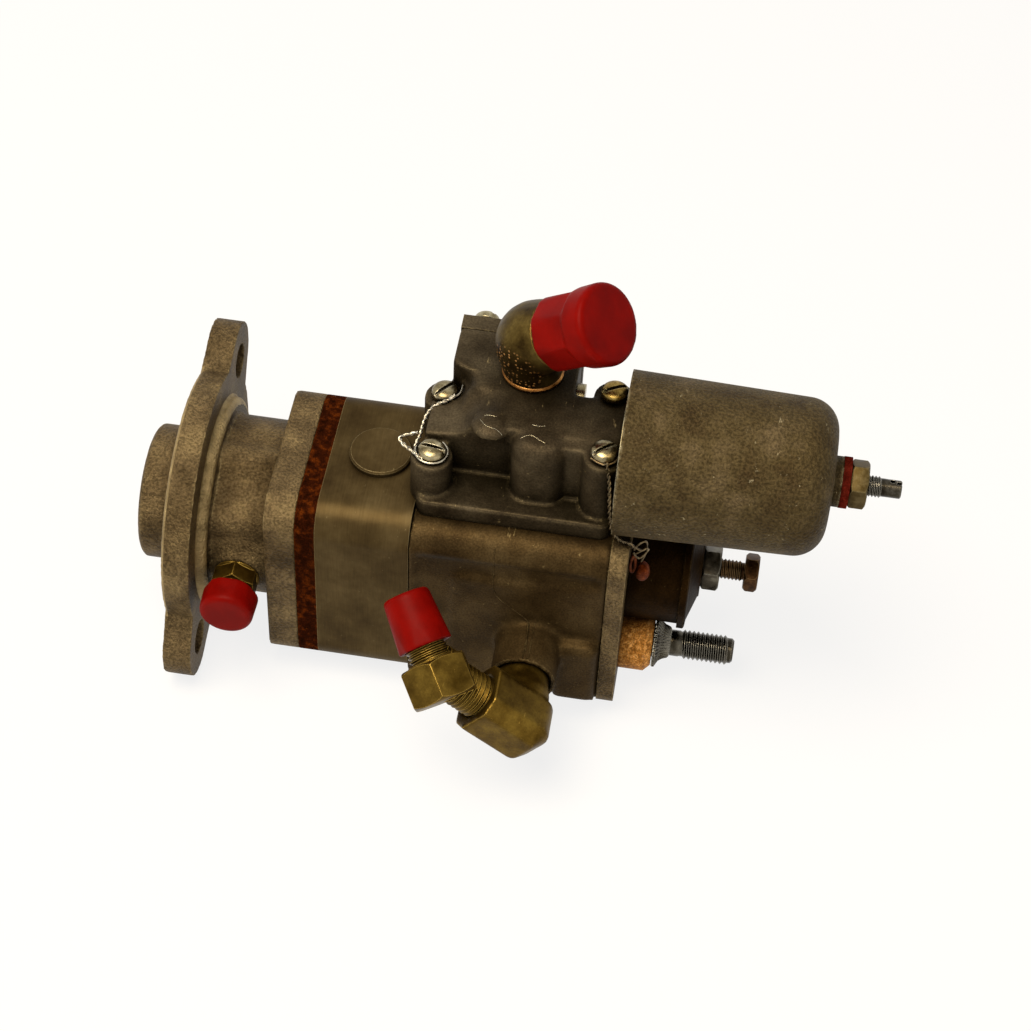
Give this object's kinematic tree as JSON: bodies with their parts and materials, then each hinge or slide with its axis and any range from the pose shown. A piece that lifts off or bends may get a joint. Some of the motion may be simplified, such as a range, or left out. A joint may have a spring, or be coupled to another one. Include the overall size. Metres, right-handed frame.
{
  "type": "engine fuel pump",
  "caption": "Gear fuel pump with a two-ear flange, stacked cast sections, a governor block, a spring can and three capped brass fittings.",
  "frame": {"origin": "centre of the pilot on the mounting face", "axes": "+X along the drive axis from the mounting face to the rear, +Z out of the face that carries the governor block, -Y out of the face with the front port"},
  "size_m": [0.1713, 0.0925, 0.1085],
  "materials": {
    "inlet_casting": "rough cast with machined faces",
    "brown_plate": "rusty brown steel",
    "machined": "machined, satin",
    "dark_cast": "dark conversion coated casting",
    "steel": "satin steel",
    "bronze": "sintered bronze",
    "brass": "dull brass",
    "red_cap": "satin plastic",
    "red_fibre": "fibre",
    "seal_rubber": "matt",
    "olive_nut": "yellow passivated"
  },
  "bodies": {
    "pump_body": {"inlet_housing": "inlet_casting", "side_plate": "brown_plate", "gear_housing": "machined", "drive_bushes": "bronze", "idler_bushes": "bronze", "shaft_seal": "seal_rubber", "seal_ring": "steel", "relief_plug": "machined", "relief_spring": "steel", "control_body": "dark_cast", "end_plate": "inlet_casting", "rear_housing": "dark_cast", "governor_block": "dark_cast", "block_lid": "dark_cast", "block_screws": "steel", "lid_screws": "steel", "side_plug": "steel", "spring_can": "inlet_casting", "can_washer": "red_fibre", "can_nut": "olive_nut", "governor_spring": "steel", "can_piston": "steel", "top_elbow": "brass", "port_elbow": "brass", "port_adapter": "brass", "drain_fitting": "brass", "throttle_bush": "bronze", "stop_nut": "steel"},
    "drive_train": {"drive_shaft": "steel", "drive_gear": "steel"},
    "idler": {"driven_gear": "steel"},
    "throttle": {"throttle_shaft": "steel", "metering_rotor": "steel"},
    "spring_adjuster": {"adjusting_screw": "steel", "spring_seat": "steel"},
    "rear_stop": {"stop_screw": "steel"},
    "relief": {"relief_valve": "steel"},
    "big_cap": {"top_cap": "red_cap"},
    "front_cap": {"port_cap": "red_cap"},
    "neck_cap": {"drain_cap": "red_cap"}
  },
  "joints": [
    {"name": "drive_spin", "type": "hinge", "parent": "pump_body", "child": "drive_train", "pos_m": [0, 0, 0], "axis": [1, 0, 0], "continuous": true},
    {"name": "idler_spin", "type": "hinge", "parent": "pump_body", "child": "idler", "pos_m": [0.04, 0, -0.01403], "axis": [1, 0, 0], "continuous": true},
    {"name": "throttle_turn", "type": "hinge", "parent": "pump_body", "child": "throttle", "pos_m": [0.11, -0.0105, -0.017], "axis": [1, 0, 0], "range_deg": [0, 70]},
    {"name": "spring_adjust", "type": "slide", "parent": "pump_body", "child": "spring_adjuster", "axis": [1, 0, 0], "range_m": [-0.002, 0.002], "deforming": ["governor_spring"]},
    {"name": "rear_stop_travel", "type": "slide", "parent": "pump_body", "child": "rear_stop", "axis": [1, 0, 0], "range_m": [-0.0025, 0.0025]},
    {"name": "relief_lift", "type": "slide", "parent": "pump_body", "child": "relief", "axis": [0, 0, 1], "range_m": [0, 0.0015], "stiffness_N_per_m": 2000, "deforming": ["relief_spring"]},
    {"name": "big_cap_pull", "type": "slide", "parent": "pump_body", "child": "big_cap", "axis": [0.7263, -0.2921, 0.6222], "range_m": [0, 0.03]},
    {"name": "front_cap_pull", "type": "slide", "parent": "pump_body", "child": "front_cap", "axis": [-0.5025, 0.7035, 0.5025], "range_m": [0, 0.005]},
    {"name": "neck_cap_pull", "type": "slide", "parent": "pump_body", "child": "neck_cap", "axis": [0, -1, 0], "range_m": [0, 0.03]}
  ],
  "couplings": [
    {"joint": "idler_spin", "follows": "drive_spin", "ratio": -1}
  ]
}
